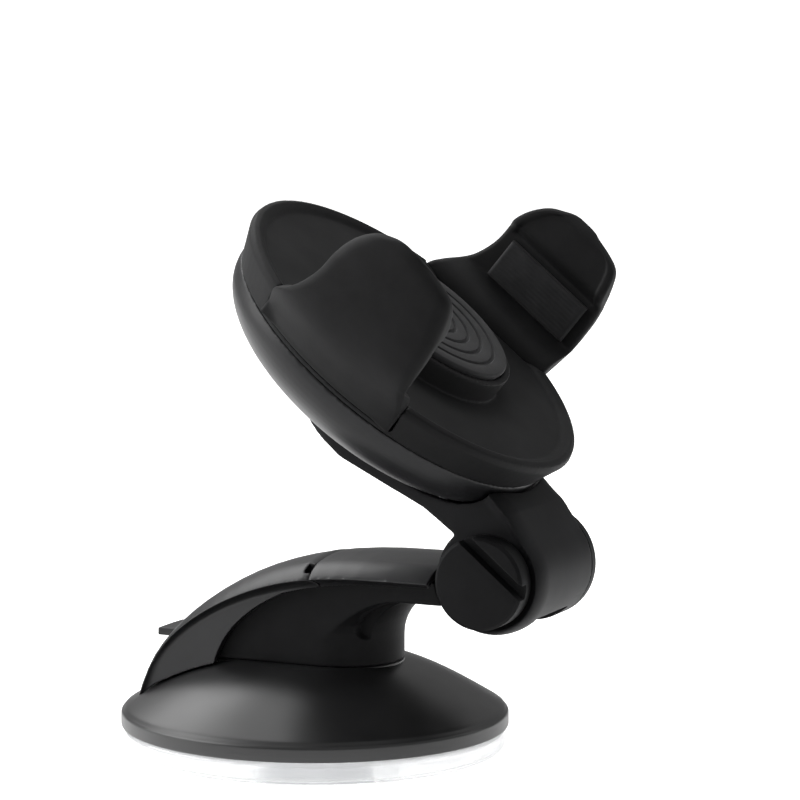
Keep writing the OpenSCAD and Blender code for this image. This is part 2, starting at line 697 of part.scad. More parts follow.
suction_cup();
base_cover();
arm_core();
arm_top_cover();
base_screws();
lever();
lever_pin();
lift_stud();
stud_cross_pin();
stud_spring();
neck();
friction_washers();
pivot_nut();
nut_cap();
swivel_washer();
swivel_screw();
knob();
pivot_bolt();
back_shell();
guide_plate();
front_housing();
centre_pad();
cradle_screws();
pinion_axle();
pinion_spring();
pinion();
jaw_left();
jaw_right();
jaw_pad_left();
jaw_pad_right();
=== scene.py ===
"""Car phone mount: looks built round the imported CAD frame. Lengths are in millimetres until they
reach a mesh, which is in metres."""
import json
import math
import bmesh
import bpy
from mathutils import Matrix, Vector


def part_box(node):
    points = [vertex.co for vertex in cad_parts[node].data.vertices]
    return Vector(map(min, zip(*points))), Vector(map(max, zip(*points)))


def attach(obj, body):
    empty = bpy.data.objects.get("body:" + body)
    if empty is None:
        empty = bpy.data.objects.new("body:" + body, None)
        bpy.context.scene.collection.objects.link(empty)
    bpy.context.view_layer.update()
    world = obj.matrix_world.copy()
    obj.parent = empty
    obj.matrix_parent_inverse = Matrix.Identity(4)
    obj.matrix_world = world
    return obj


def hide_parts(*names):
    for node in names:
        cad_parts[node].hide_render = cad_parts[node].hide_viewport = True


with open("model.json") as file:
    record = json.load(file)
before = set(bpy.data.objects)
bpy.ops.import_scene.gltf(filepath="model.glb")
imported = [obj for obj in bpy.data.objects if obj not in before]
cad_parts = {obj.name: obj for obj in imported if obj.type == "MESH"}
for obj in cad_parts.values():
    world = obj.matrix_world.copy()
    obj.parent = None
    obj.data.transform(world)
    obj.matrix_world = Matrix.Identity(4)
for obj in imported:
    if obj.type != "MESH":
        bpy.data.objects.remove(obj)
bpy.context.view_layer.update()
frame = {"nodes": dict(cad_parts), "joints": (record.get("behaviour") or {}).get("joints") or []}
MM = 0.001
SCENE = bpy.context.scene
JOINTS = {j["name"]: j for j in frame["joints"]}

# ------------------------------------------------------------------ frame of the moving parts
X = Vector((1, 0, 0))
PIVOT = Vector(JOINTS["neck_tilt"]["pos_m"])
SEAT = Vector(JOINTS["cradle_swivel"]["pos_m"])
N = Vector(JOINTS["cradle_swivel"]["axis"]).normalized()
V = N.cross(X)


def axes(origin, x, y, z):
    """The place at origin whose own X, Y and Z run along x, y and z."""
    return Matrix(((x.x, y.x, z.x, origin.x),
                   (x.y, y.y, z.y, origin.y),
                   (x.z, y.z, z.z, origin.z),
                   (0, 0, 0, 1)))


CRADLE = axes(SEAT, X, V, N)
NECK = axes(PIVOT, X, V, N)
GROUND = Matrix.Identity(4)


# ------------------------------------------------------------------ sums that several shapes share
def clamped(t):
    return max(0.0, min(1.0, t))


def smooth_step(a, b, x):
    """0 at a, 1 at b, with an even start and end. With a above b it falls instead."""
    t = clamped((x - a) / (b - a))
    return t * t * (3 - 2 * t)


def between(a, b, f):
    """The point a share f of the way from a to b."""
    return tuple(p + (q - p) * f for p, q in zip(a, b))


def along(points, t):
    """Straight-line reading of a table of (key, value...) at key t."""
    for a, b in zip(points, points[1:]):
        if t <= b[0]:
            f = (t - a[0]) / (b[0] - a[0]) if b[0] > a[0] else 0
            return between(a[1:], b[1:], clamped(f))
    return points[-1][1:]


def squeeze(a, b):
    """A unit square's corner squeezed into a disc: how far (a, b) shifts along the first side, and along
    the second one towards the middle."""
    return a * math.sqrt(1 - b * b / 2) - a, b - b * math.sqrt(1 - a * a / 2)


def circle(r, z, steps):
    turns = (2 * math.pi * i / steps for i in range(steps))
    return [(r * math.cos(a), r * math.sin(a), z) for a in turns]


# ------------------------------------------------------------------ mesh tools
def new_object(name, verts, faces, place=GROUND):
    """A mesh from points in the place's millimetres."""
    mesh = bpy.data.meshes.new(name)
    mesh.from_pydata([place @ (Vector(v) * MM) for v in verts], [], faces)
    mesh.validate()
    obj = bpy.data.objects.new(name, mesh)
    SCENE.collection.objects.link(obj)
    tidy_normals(obj)
    return obj


def relax_where(obj, place, weight, passes):
    """Smooths only where weight(x, y, z), in the place's millimetres, is above 0."""
    back = place.inverted()
    group = obj.vertex_groups.new(name="soft")
    for v in obj.data.vertices:
        w = weight(*(back @ v.co / MM))
        if w > 0:
            group.add([v.index], w, "REPLACE")
    relax = obj.modifiers.new("relax", "SMOOTH")
    relax.factor = 0.5
    relax.iterations = passes
    relax.vertex_group = "soft"
    settle(obj)
    obj.vertex_groups.clear()
    return obj


def tidy_normals(obj, sharp=None):
    """Turns every face outwards and shades the mesh smooth, but for edges past the sharp angle."""
    bm = bmesh.new()
    bm.from_mesh(obj.data)
    bmesh.ops.recalc_face_normals(bm, faces=bm.faces)
    bm.to_mesh(obj.data)
    bm.free()
    obj.data.polygons.foreach_set("use_smooth", [True] * len(obj.data.polygons))
    if sharp:
        obj.data.set_sharp_from_angle(angle=math.radians(sharp))
    obj.data.update()


def settle(obj):
    """Applies the object's modifiers to its mesh."""
    graph = bpy.context.evaluated_depsgraph_get()
    mesh = bpy.data.meshes.new_from_object(obj.evaluated_get(graph))
    obj.modifiers.clear()
    old = obj.data
    obj.data = mesh
    bpy.data.meshes.remove(old)
    return obj


def copy_of(nodes, name):
    """The meshes of some CAD nodes, welded, as one new object."""
    bm = bmesh.new()
    for node in nodes:
        bm.from_mesh(frame["nodes"][node].data)
    bmesh.ops.remove_doubles(bm, verts=bm.verts, dist=2e-6)
    mesh = bpy.data.meshes.new(name)
    bm.to_mesh(mesh)
    bm.free()
    obj = bpy.data.objects.new(name, mesh)
    SCENE.collection.objects.link(obj)
    return obj


def soften(obj, voxel=0.26, passes=5):
    """Rebuilds the skin on an even grid and relaxes it, so that every edge gets a moulded radius."""
    grid = obj.modifiers.new("grid", "REMESH")
    grid.mode = "VOXEL"
    grid.voxel_size = voxel * MM
    grid.use_smooth_shade = True
    relax = obj.modifiers.new("relax", "SMOOTH")
    relax.factor = 0.5
    relax.iterations = passes
    settle(obj)
    obj.data.polygons.foreach_set("use_smooth", [True] * len(obj.data.polygons))
    return obj


def bevelled(obj, width=0.35, segments=3, angle=34, flat=0.5):
    """Joins coplanar triangles, then rounds the edges."""
    bm = bmesh.new()
    bm.from_mesh(obj.data)
    bmesh.ops.dissolve_limit(bm, angle_limit=math.radians(flat), verts=bm.verts, edges=bm.edges)
    bm.to_mesh(obj.data)
    bm.free()
    cut = obj.modifiers.new("bevel", "BEVEL")
    cut.width = width * MM
    cut.segments = segments
    cut.limit_method = "ANGLE"
    cut.angle_limit = math.radians(angle)
    settle(obj)
    tidy_normals(obj, 30)
    return obj


def lathe(name, profile, steps=160, place=GROUND):
    """Turns a closed profile of (radius, height) about the place's Z."""
    verts = []
    for k in range(steps):
        a = 2 * math.pi * k / steps
        verts += [(r * math.cos(a), r * math.sin(a), z) for r, z in profile]
    n = len(profile)
    faces = []
    for k in range(steps):
        for i in range(n):
            j = (i + 1) % n
            q = (k + 1) % steps
            faces.append((k * n + i, q * n + i, q * n + j, k * n + j))
    obj = new_object(name, verts, faces, place)
    bm = bmesh.new()
    bm.from_mesh(obj.data)
    bmesh.ops.remove_doubles(bm, verts=bm.verts, dist=1e-7)
    bm.to_mesh(obj.data)
    bm.free()
    tidy_normals(obj, 38)
    return obj


def arc(cx, cz, r, start, end, steps=6):
    """Points of an arc round (cx, cz), from one angle to the other, in degrees."""
    turns = (math.radians(start + (end - start) * i / steps) for i in range(steps + 1))
    return [(cx + r * math.cos(a), cz + r * math.sin(a)) for a in turns]


def loft(name, rings, place=GROUND):
    """A closed skin over rings of equally many points, with a flat face at each end."""
    n = len(rings[0])
    verts = [p for ring in rings for p in ring]
    faces = []
    for k in range(len(rings) - 1):
        for i in range(n):
            j = (i + 1) % n
            faces.append((k * n + i, k * n + j, (k + 1) * n + j, (k + 1) * n + i))
    faces.append(tuple(range(n - 1, -1, -1)))
    faces.append(tuple((len(rings) - 1) * n + i for i in range(n)))
    return new_object(name, verts, faces, place)


def join(keep, other):
    """Adds the other object's mesh to the one that is kept."""
    bm = bmesh.new()
    bm.from_mesh(keep.data)
    bm.from_mesh(other.data)
    bm.to_mesh(keep.data)
    bm.free()
    mesh = other.data
    bpy.data.objects.remove(other)
    bpy.data.meshes.remove(mesh)


# ------------------------------------------------------------------ materials
WHITE = (1, 1, 1, 1)


class Look:
    """A Principled material, and short ways to add the nodes that feed it."""

    def __init__(self, name):
        self.mat = bpy.data.materials.new(name)
        self.mat.use_nodes = True
        self.tree = self.mat.node_tree
        self.shader = self.tree.nodes["Principled BSDF"]
        self.place = self.add("ShaderNodeTexCoord").outputs["Object"]

    def add(self, kind, **values):
        node = self.tree.nodes.new(kind)
        for k, v in values.items():
            setattr(node, k, v)
        return node

    def link(self, a, b):
        self.tree.links.new(a, b)

    def noise(self, scale, detail=3.0, rough=0.55):
        node = self.add("ShaderNodeTexNoise")
        node.inputs["Scale"].default_value = scale
        node.inputs["Detail"].default_value = detail
        node.inputs["Roughness"].default_value = rough
        self.link(self.place, node.inputs["Vector"])
        return node.outputs["Fac"]

    def remap(self, value, a, b, c, d):
        node = self.add("ShaderNodeMapRange")
        for k, v in (("From Min", a), ("From Max", b), ("To Min", c), ("To Max", d)):
            node.inputs[k].default_value = v
        self.link(value, node.inputs["Value"])
        return node.outputs["Result"]

    def mix(self, fac, a, b):
        node = self.add("ShaderNodeMix", data_type="RGBA")
        self.link(fac, node.inputs[0])
        for socket, v in ((node.inputs[6], a), (node.inputs[7], b)):
            if isinstance(v, tuple):
                socket.default_value = (*v, 1)
            else:
                self.link(v, socket)
        return node.outputs[2]

    def edge(self, radius):
        """1 on convex and concave edges, 0 on flats."""
        bevel = self.add("ShaderNodeBevel", samples=6)
        bevel.inputs["Radius"].default_value = radius * MM
        geometry = self.add("ShaderNodeNewGeometry")
        dot = self.add("ShaderNodeVectorMath", operation="DOT_PRODUCT")
        self.link(bevel.outputs["Normal"], dot.inputs[0])
        self.link(geometry.outputs["Normal"], dot.inputs[1])
        return self.remap(dot.outputs["Value"], 0.995, 0.9, 0.0, 1.0)

    def bump(self, height, distance, strength=1.0, over=None):
        node = self.add("ShaderNodeBump")
        node.inputs["Distance"].default_value = distance * MM
        node.inputs["Strength"].default_value = strength
        self.link(height, node.inputs["Height"])
        if over:
            self.link(over, node.inputs["Normal"])
        return node.outputs["Normal"]

    def set(self, **values):
        for k, v in values.items():
            self.shader.inputs[k.replace("_", " ")].default_value = v


def moulded(name, base, rough, grain=0.35, depth=0.012, spec=0.25, wear_and_highlight=0.25):
    """Moulded plastic: fine spark grain, faint flow marks, handling sheen and paler edges, partly wear and
    partly a painted edge highlight. The grain's size and depth are in millimetres, and the last argument is
    how far the edges go towards their paler colour."""
    look = Look(name)
    lift = tuple(min(1, c * 1.35 + 0.004) for c in base)
    worn_and_highlit = tuple(min(1, c * 2.2 + 0.02) for c in base)
    flow = look.noise(85, 4)
    speck = look.noise(1 / (grain * MM), 2, 0.6)
    handled = look.noise(38, 3)
    colour = look.mix(look.remap(flow, 0.35, 0.7, 0, 1), base, lift)
    # Paler edges: part wear, part painted highlight on every bevelled edge, convex and concave.
    colour = look.mix(look.remap(look.edge(0.35), 0, 1, 0, wear_and_highlight), colour, worn_and_highlit)
    look.link(colour, look.shader.inputs["Base Color"])
    look.link(look.remap(handled, 0.3, 0.7, rough - 0.05, rough + 0.06), look.shader.inputs["Roughness"])
    fine = look.bump(speck, depth)
    look.link(look.bump(look.noise(240, 2), depth * 0.8, 0.6, fine), look.shader.inputs["Normal"])
    look.set(Specular_IOR_Level=spec)
    return look.mat


def rubber(name, base, rough):
    """Soft rubber: dull, a little dusty, with a very fine skin."""
    look = Look(name)
    soft = tuple(c * 1.6 + 0.006 for c in base)
    dust = look.noise(160, 5)
    colour = look.mix(look.remap(dust, 0.4, 0.75, 0, 1), base, soft)
    look.link(colour, look.shader.inputs["Base Color"])
    handled = look.noise(60, 3)
    look.link(look.remap(handled, 0.3, 0.7, rough - 0.06, rough + 0.05), look.shader.inputs["Roughness"])
    look.link(look.bump(look.noise(2600, 2), 0.02), look.shader.inputs["Normal"])
    look.set(Specular_IOR_Level=0.25, Sheen_Weight=0.08)
    return look.mat


def metal(name, base, rough, brushed=900):
    """Bare metal with streaks along X. The larger brushed is, the finer they are."""
    look = Look(name)
    mapping = look.add("ShaderNodeMapping")
    mapping.inputs["Scale"].default_value = (0.08, 1, 1)
    look.link(look.place, mapping.inputs["Vector"])
    streak = look.add("ShaderNodeTexNoise")
    streak.inputs["Scale"].default_value = brushed
    streak.inputs["Detail"].default_value = 4
    look.link(mapping.outputs["Vector"], streak.inputs["Vector"])
    dull = tuple(c * 0.7 for c in base)
    colour = look.mix(look.remap(look.noise(140, 4), 0.35, 0.7, 0, 1), base, dull)
    look.link(colour, look.shader.inputs["Base Color"])
    streaks = streak.outputs["Fac"]
    look.link(look.remap(streaks, 0.3, 0.7, rough - 0.08, rough + 0.1), look.shader.inputs["Roughness"])
    look.link(look.bump(streaks, 0.006), look.shader.inputs["Normal"])
    look.set(Metallic=1.0)
    return look.mat


def gel(name):
    """Clear tacky gel: slightly clouded, with small trapped swirls and a faint glow of its own, which
    stands for the light that a real pad carries inside."""
    look = Look(name)
    cloud = look.noise(110, 4)
    look.link(look.mix(look.remap(cloud, 0.3, 0.75, 0, 1), (0.98, 0.985, 0.99), (0.92, 0.94, 0.95)),
              look.shader.inputs["Base Color"])
    look.link(look.remap(look.noise(75, 3), 0.3, 0.7, 0.1, 0.2), look.shader.inputs["Roughness"])
    look.link(look.bump(look.noise(160, 2), 0.02), look.shader.inputs["Normal"])
    look.set(Transmission_Weight=0.8, IOR=1.41, Specular_IOR_Level=0.5)
    look.set(Emission_Color=WHITE, Emission_Strength=0.09)
    return look.mat


# Colour, roughness, grain size, grain depth, specular level, and edge wear with painted edge highlight.
BASE_BLACK = moulded("base black", (0.006, 0.006, 0.0065), 0.38, 0.30, 0.005, 0.70, 0.15)
STRIP_BLACK = moulded("strip black", (0.010, 0.010, 0.011), 0.40, 0.30, 0.008, 0.40, 0.05)
CORE_BLACK = moulded("arm black", (0.005, 0.005, 0.0055), 0.58, 0.34, 0.010, 0.12, 0.15)
NECK_BLACK = moulded("neck black", (0.011, 0.011, 0.012), 0.52, 0.30, 0.008, 0.12, 0.2)
SHELL_BLACK = moulded("shell black", (0.009, 0.009, 0.010), 0.42, 0.28, 0.008, 0.30, 0.2)
JAW_BLACK = moulded("jaw black", (0.010, 0.010, 0.0105), 0.60, 0.36, 0.014, 0.14, 0.2)
KNOB_BLACK = moulded("knob black", (0.003, 0.003, 0.0035), 0.55, 0.30, 0.008, 0.12, 0.4)
PLATE_BLACK = moulded("inner plate", (0.02, 0.02, 0.022), 0.5)
PAD_RUBBER = rubber("pad rubber", (0.014, 0.014, 0.015), 0.72)
STEEL = metal("zinc steel", (0.62, 0.62, 0.64), 0.3)
WIRE = metal("spring wire", (0.42, 0.42, 0.44), 0.34, 2200)
ACETAL = moulded("acetal", (0.72, 0.70, 0.64), 0.42, 0.4, 0.01, 0.4, 0.1)
GEL = gel("clear gel")


def dress(obj, mat):
    """Gives the object this one material."""
    obj.data.materials.clear()
    obj.data.materials.append(mat)


def stands_for(obj, body, mat, slot, *nodes):
    """Dresses the object and shows it on its body in place of the CAD nodes."""
    dress(obj, mat)
    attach(obj, body)
    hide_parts(*nodes)
    return obj


# ------------------------------------------------------------------ base
BASE_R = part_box("base_cover")[1].x / MM
CUP_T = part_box("suction_cup")[1].z / MM
BASE_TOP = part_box("base_cover")[1].z / MM
BASE_WALL = 2.4
RIM_H = 2.2
RIM_TOP = CUP_T + RIM_H
FLANK_LOW = RIM_TOP + 1.2
FLANK_IN = 14.0
STUD_BORE = 2.75
CEILING = BASE_TOP - 4.0
CUP_EYE = 10.05
CUP_FILM = 0.46
SEAL = CUP_T - 0.02
FOOT_FRONT = -15.6
FOOT_BACK = 13.6


def flank(t):
    """The skirt's concave outside, from the rim band at 0 to the seat of the arm at 1."""
    return (BASE_R - 1 - t * (BASE_R - 1 - FLANK_IN),
            FLANK_LOW + (BASE_TOP - FLANK_LOW) * (t + math.sin(math.pi / 2 * t)) / 2)


def make_gel_pad():
    """The clear pad: a ring as thick as the cup, with a thin film under the stud's foot."""
    edge = arc(BASE_R - 1.7, 1.3, 1.3, -80, 0) + arc(BASE_R - 1.2, CUP_T - 0.85, 0.8, 0, 85, 5)
    profile = [(0.4, 0.0), (22, 0.0), (29.5, 0.0)] + edge \
        + [(28, SEAL), (CUP_EYE, SEAL), (CUP_EYE, CUP_FILM), (0.4, CUP_FILM)]
    stands_for(lathe("gel_pad", profile), "base", GEL, "clear_gel", "suction_cup")


def make_base():
    """The flared skirt with its rim band, and the seat of the arm on top."""
    flanks = [flank(i / 40) for i in range(41)]
    outer = [(STUD_BORE, BASE_TOP), (8, BASE_TOP)] + flanks[::-1]
    rim = [(BASE_R - 0.62, FLANK_LOW - 0.28)] + arc(BASE_R - 0.75, RIM_TOP - 0.1, 0.75, 62, 0) \
        + [(BASE_R, CUP_T + 1.1)] + arc(BASE_R - 0.35, CUP_T + 0.38, 0.35, 0, -85, 4)
    under = [(r - BASE_WALL, z - BASE_WALL) for r, z in flanks if z - BASE_WALL < CEILING - 0.1]
    inner = [(BASE_R - BASE_WALL, CUP_T + 0.05), (BASE_R - 2.6, CUP_T + 1.6)] + under \
        + [(10, CEILING), (STUD_BORE, CEILING)]
    cover = lathe("base_skirt", outer + rim + inner, 220)
    join(cover, foot_block())
    stands_for(cover, "base", BASE_BLACK, "cover_plastic", "base_cover")


def foot_block():
    """The raised seat under the arm's foot: straight sides, a half-round front and eased top edges."""
    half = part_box("arm_core")[1].x / MM
    nose = arc(0.0, FOOT_FRONT + half, half, 180, 360, 40)
    plan = [(half - 0.02, FOOT_BACK), (-half + 0.02, FOOT_BACK)] + nose
    rings = []
    for z, inset in ((CEILING + 0.1, 0), (BASE_TOP - 0.2, 0), (BASE_TOP - 0.06, 0.04), (BASE_TOP, 0.16)):
        rings.append([(x * (1 - inset / half), y + (inset if y < 0 else -inset), z) for x, y in plan])
    return loft("foot", rings)


make_gel_pad()
make_base()

# ------------------------------------------------------------------ arm, strip and lever
ARM_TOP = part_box("arm_top_cover")[1].z / MM
STRIP_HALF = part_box("arm_top_cover")[1].x / MM
# The arch's outside is a squared ellipse: its centre, its half axes and its power.
ARCH_C = (-19.0, -10.0)
ARCH_AB = (49.1, ARM_TOP + 10.0)
ARCH_P = 2.55
SHOULDER = 5.0
FOOT_Z = 14
HIGH_Z = 31
# The finger groove under the arm, on each side of the pillar: its middle line and half width.
GROOVE = ((-12.9, 21.9, 1.6), (-14.6, 23.2, 2.2), (-16.8, 24.2, 2.3), (-19.0, 25.2, 2.0), (-21.4, 26.2, 1.4))
GROOVE_DEPTH = 3.3
GROOVE_FLOOR = 6.5
GROOVE_STEPS = 8


def below_arch(y, z):
    """Depth of a point of the arm's section below the arch's outside, and the way in towards its centre."""
    ray = Vector((0, max(0.0, y - ARCH_C[0]), z - ARCH_C[1]))
    reach = ((ray.y / ARCH_AB[0]) ** ARCH_P + (max(0.0, ray.z) / ARCH_AB[1]) ** ARCH_P) ** (1 / ARCH_P)
    return ray.length * (1 / reach - 1), -ray.normalized()


def round_shoulders(obj):
    """Rounds the square shoulders of the arm's section over, most of all on top, where it is crowned too."""
    for v in obj.data.vertices:
        x, y, z = v.co / MM
        high = smooth_step(FOOT_Z, HIGH_Z, z)
        r = SHOULDER * (0.5 + 0.5 * high)
        depth, inward = below_arch(y, z)
        b = clamped(1 - depth / r)
        out, drop = squeeze(clamped((abs(x) - STRIP_HALF + r) / r), b)
        crown = (0.2 + 1.3 * high) * (x / STRIP_HALF) ** 2 * b
        v.co += (inward * (drop * r + crown) + Vector((math.copysign(out * r, x), 0, 0))) * MM
    obj.data.update()
    return obj


def scoop(obj):
    """Presses the finger groove into both sides."""
    shares = [k / GROOVE_STEPS for k in range(GROOVE_STEPS + 1)]
    spots = [between(a, b, f) for a, b in zip(GROOVE, GROOVE[1:]) for f in shares]
    for v in obj.data.vertices:
        x, y, z = v.co / MM
        if abs(x) > GROOVE_FLOOR + 0.1 and -26 < y < -10 and 19 < z < 27.2:
            near = min(math.hypot(y - cy, z - cz) / w for cy, cz, w in spots)
            deep = GROOVE_DEPTH * smooth_step(1.04, 0.84, near)
            v.co.x = math.copysign(min(abs(x), max(GROOVE_FLOOR, abs(x) - deep)) * MM, x)
    obj.data.update()
    return obj


def make_arm():
    strip = round_shoulders(soften(copy_of(["arm_top_cover"], "arm_strip"), 0.2, 2))
    stands_for(strip, "base", STRIP_BLACK, "cover_plastic", "arm_top_cover")
    lever = round_shoulders(soften(copy_of(["lever"], "lock_lever"), 0.2, 2))
    stands_for(lever, "lever", STRIP_BLACK, "cover_plastic", "lever")
    core = scoop(round_shoulders(soften(copy_of(["arm_core"], "arm_body"), 0.22, 3)))
    stands_for(core, "base", CORE_BLACK, "body_plastic", "arm_core")


make_arm()

# ------------------------------------------------------------------ neck, knob and caps
# The plate's front: its distance from the barrel's axis, at some distances up from it.
NECK_FRONT = ((-2.2, 9.0), (4.0, 11.05), (9.8, 11.75), (60.0, 11.75))
BARREL_HALF = 11.0
BARREL_R = 9.35
NECK_ROUND = 2.9


def neck_rim(x, y, z):
    """The neck's outer edges and the knob end of its barrel, clear of the bore and the end cap's seat."""
    if x > 0 and math.hypot(y, z) < 10.2 and y < 3:
        return 0
    return smooth_step(6.9, 9.0, abs(x)) * smooth_step(7.9, 8.7, math.hypot(y, z))


def round_neck(obj):
    """Rounds the neck's front edges and the knob end of its barrel over, fading out under the cradle."""
    back = NECK.inverted()
    for v in obj.data.vertices:
        x, y, z = back @ v.co / MM
        radial = Vector((0, y, z))
        if y < NECK_FRONT[0][0]:
            depth, inward = BARREL_R - radial.length, -radial.normalized()
        else:
            depth, inward = along(NECK_FRONT, y)[0] - z, Vector((0, 0, -1))
        fade = smooth_step(23, 15, y) * (1 if x < 0 else smooth_step(2, 7, y))
        b = clamped(1 - depth / NECK_ROUND)
        out, drop = squeeze(clamped((abs(x) - BARREL_HALF + NECK_ROUND) / NECK_ROUND), b)
        shift = inward * drop + Vector((math.copysign(out, x), 0, 0))
        v.co += NECK.to_3x3() @ shift * (NECK_ROUND * fade * MM)
    obj.data.update()
    return obj


def make_neck():
    neck = round_neck(soften(copy_of(["neck"], "neck_plate"), 0.22, 3))
    neck = relax_where(neck, NECK, neck_rim, 12)
    stands_for(neck, "neck", NECK_BLACK, "cover_plastic", "neck")
    knob = bevelled(copy_of(["knob"], "clamp_knob"), 0.28)
    stands_for(knob, "knob", KNOB_BLACK, "knob_plastic", "knob")
    cap = soften(copy_of(["nut_cap"], "end_cap"), 0.16, 2)
    stands_for(cap, "neck", NECK_BLACK, "cover_plastic", "nut_cap")


make_neck()

# ------------------------------------------------------------------ cradle
PAD_R = 15.5
PAD_T = 1.5


def make_shells():
    shell = soften(copy_of(["back_shell"], "cradle_back"), 0.3, 3)
    stands_for(shell, "cradle", SHELL_BLACK, "cover_plastic", "back_shell")
    front = soften(copy_of(["front_housing"], "cradle_front"), 0.22, 3)
    stands_for(front, "cradle", JAW_BLACK, "jaw_plastic", "front_housing")


def make_centre_pad():
    """The round rubber pad behind the phone, with ring grooves in its face."""
    rings = []
    r = 13.4
    while r > 3:
        rings += [(r, 0.0), (r - 0.5, -0.06), (r - 0.7, -0.42), (r - 1.1, -0.42), (r - 1.3, -0.06)]
        r -= 2.6
    profile = [(0.3, -PAD_T), (PAD_R - 0.3, -PAD_T)] + arc(PAD_R - 0.55, -0.55, 0.5, 0, 90, 5) \
        + [(14.2, 0.0)] + rings + [(0.3, 0.0)]
    pad = lathe("phone_pad", profile, 128, CRADLE)
    stands_for(pad, "cradle", PAD_RUBBER, "pad_rubber", "centre_pad")


make_shells()
make_centre_pad()

# ------------------------------------------------------------------ jaws
# Across the cradle, the jaw's pad faces the phone at GRIP. Along its normal, the jaw runs from ROOT to TOP.
GRIP = 33.5
ROOT = -9.45
TOP = 18.0
JAW_MID = -3.0
SHELL_R = 31.8
PANEL_LOW = 8.4
PANEL_DEEP = 0.38
# The petal's four outlines, each as distances across or along the cradle at some heights.
INNER = ((ROOT, 28.6), (-4.6, 28.6), (-3.2, 29.0), (-1.9, 30.4), (-1.2, 32.6), (-0.8, GRIP + 1.15),
         (8.2, GRIP + 1.2), (9.2, GRIP + 0.8), (10.2, GRIP - 0.35), (11.0, GRIP - 0.65), (12.0, GRIP - 0.5),
         (13.6, GRIP + 0.1), (15.7, GRIP + 1.0), (17.0, GRIP + 1.75), (17.7, GRIP + 2.5), (TOP, GRIP + 3.1))
OUTER = ((ROOT, 31.4), (-7.2, 32.9), (-5.2, 34.3), (-3.6, 35.5), (-2.0, 36.5), (-0.2, 37.3), (1.5, 37.8),
         (3.5, 38.15), (6.0, 38.38), (11.0, 38.38), (15.0, 38.05), (16.2, 37.9), (17.2, 37.6),
         (17.75, 37.15), (TOP, 36.7))
LOW = ((ROOT, -14.42), (-2.0, -14.4), (6.0, -14.1), (9.5, -13.6), (12.3, -12.9), (14.5, -12.1),
       (15.5, -11.5), (16.4, -10.3), (16.9, -8.7), (17.3, -6.3), (17.8, -4.1), (TOP, -2.6))
HIGH = ((ROOT, 14.42), (-4.0, 14.35), (-0.4, 10.7), (2.6, 9.3), (5.5, 8.5), (9.0, 8.4), (11.5, 7.9),
        (14.0, 6.7), (15.5, 5.4), (16.5, 4.2), (17.2, 2.9), (17.7, 1.2), (TOP, -0.4))
SIDE_NAME = {1: "right", -1: "left"}
# Steps of a ring's long stretches, by the corner point that each one starts from. The others have one.
SIDE_STEPS = {6: 3, 13: 64, 20: 3, 27: 26}


def smoothed(table, t, spread):
    """The table's value, averaged over a short span so that its corners are soft."""
    return sum(along(table, t + spread * k / 3)[0] for k in range(-3, 4)) / 7


def petal_limits(m):
    """The petal's inner and outer side and its low and high edge at height m."""
    fade = smooth_step(TOP, 17.0, m)
    spreads = ((INNER, 0.5), (OUTER, 0.9), (LOW, 0.9), (HIGH, 1.2))
    return [smoothed(table, m, spread * fade) for table, spread in spreads]


def petal_ring(m, u0, u1, lo, hi):
    """The limits' rectangle with round corners, its long sides cut into short steps."""
    uc, uh = (u0 + u1) / 2, (u1 - u0) / 2
    vc, vh = (lo + hi) / 2, (hi - lo) / 2
    soft = min(uh * 0.95, 0.6 + 1.5 * smooth_step(-5, 3, m))
    crisp = min(uh * 0.8, 0.8)
    ring = []
    for su, sv, start, r in ((1, 1, 0, soft), (-1, 1, 90, crisp), (-1, -1, 180, crisp), (1, -1, 270, soft)):
        rv = min(r, vh * 0.9)
        for i in range(7):
            a = math.radians(start + 15 * i)
            ring.append((uc + su * (uh - r) + r * math.cos(a), vc + sv * (vh - rv) + rv * math.sin(a)))
    points = []
    for i, (a, b) in enumerate(zip(ring, ring[1:] + ring[:1])):
        count = SIDE_STEPS.get(i, 1)
        points += [between(a, b, k / count) for k in range(count)]
    return points


def petal_shape(u, v, m, u0, u1, lo, hi):
    """Crowns the petal's outside, hugs the round shell with its root and sinks a panel into its inside."""
    vc, vh = (lo + hi) / 2, (hi - lo) / 2
    hug = SHELL_R - math.sqrt(SHELL_R ** 2 - v * v)
    flat = 0.8 * ((v - vc) / vh) ** 2
    bulge = hug + (flat - hug) * smooth_step(-7, 3, m)
    bulge = min(bulge, max(0.0, (u1 - u0) - 1.0)) * smooth_step(u0, u1, u)
    near = min(v - lo, hi - v, TOP - m)
    inner_face = smooth_step(u0 + 0.25, u0 + 0.05, u)
    inset = PANEL_DEEP * smooth_step(1.35, 1.8, near) * inner_face * smooth_step(PANEL_LOW, 8.7, m)
    return u - bulge + inset


def make_jaw(side, body, node):
    heights = [ROOT, -9.25] + [-8.9 + 0.3 * i for i in range(87)] \
        + [17.2, 17.4, 17.58, 17.74, 17.87, 17.96, TOP]
    rings = []
    for m in heights:
        limits = petal_limits(m)
        row = [(side * petal_shape(u, v, m, *limits), v, m) for u, v in petal_ring(m, *limits)]
        rings.append(row if side > 0 else row[::-1])
    petal = loft("petal_" + SIDE_NAME[side], rings, CRADLE)
    join(petal, rack_bar(side))
    stands_for(petal, body, JAW_BLACK, "jaw_plastic", node)


MODULE = 1.2
RACK_THICK = 2.5


